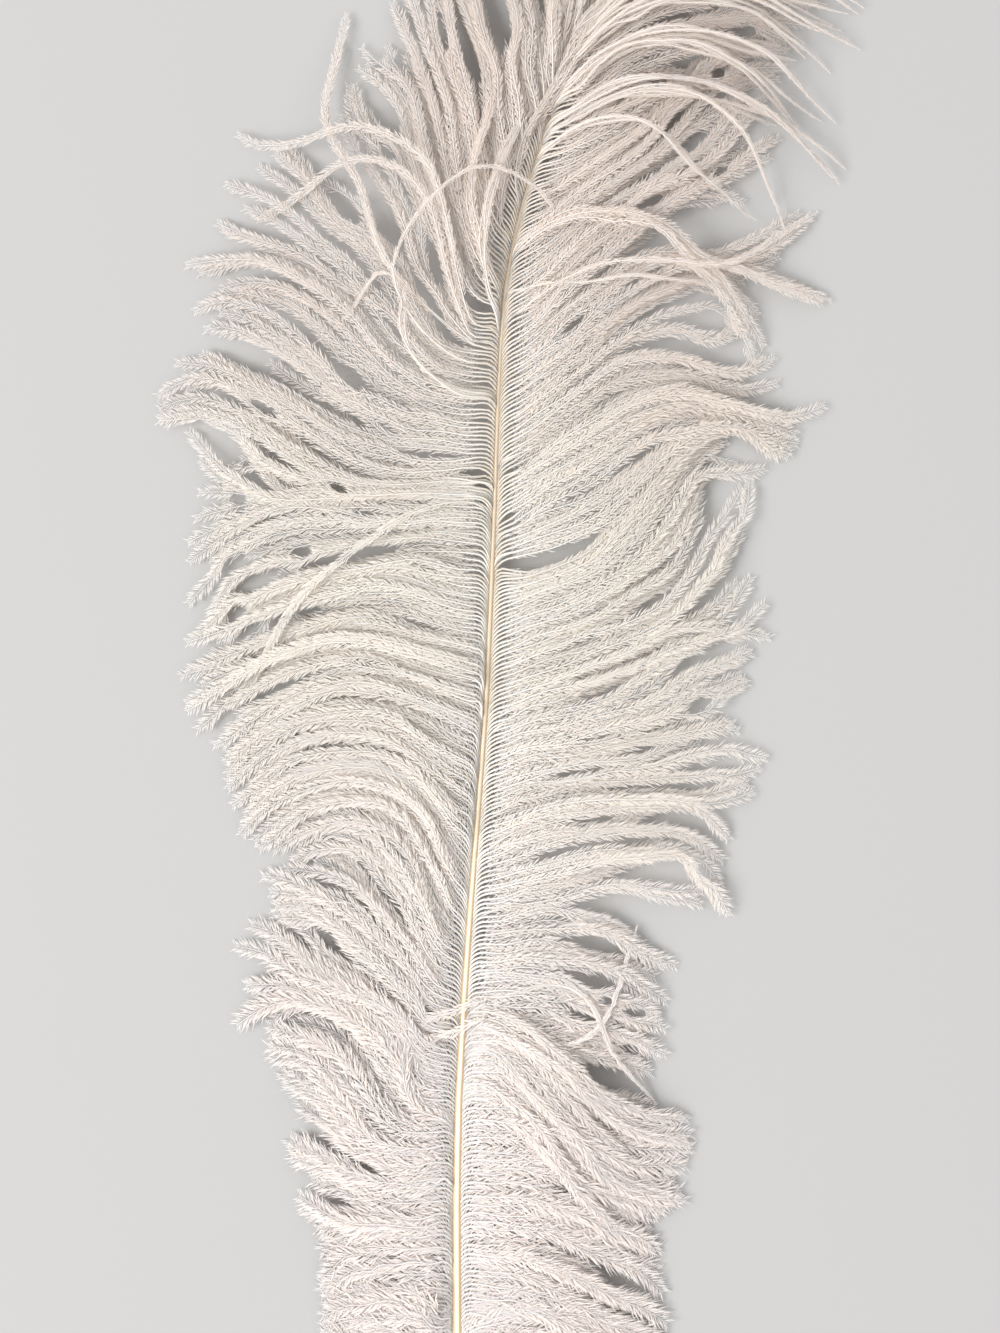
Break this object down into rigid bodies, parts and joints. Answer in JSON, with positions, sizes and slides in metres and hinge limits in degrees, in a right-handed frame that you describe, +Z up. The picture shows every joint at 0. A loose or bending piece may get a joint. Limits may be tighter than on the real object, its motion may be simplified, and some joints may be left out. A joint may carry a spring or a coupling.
{
  "type": "ostrich feather",
  "caption": "Large ivory ostrich wing plume lying flat: a pale tapering quill with long soft drooping barbs gathered into loose curled locks on both sides.",
  "frame": {"origin": "middle of the feather's box, on the surface that it lies on", "axes": "+Y runs along the feather from the quill to the tip, +X to the right of it as seen from above, and +Z up from the surface"},
  "size_m": [0.2766, 0.6734, 0.0267],
  "materials": {
    "plume": "soft ivory white keratin barbs, matt with a faint silky sheen",
    "shaft": "smooth cream-yellow keratin with tan edges, satin"
  },
  "bodies": {
    "root": {"feather": "plume"}
  },
  "joints": []
}
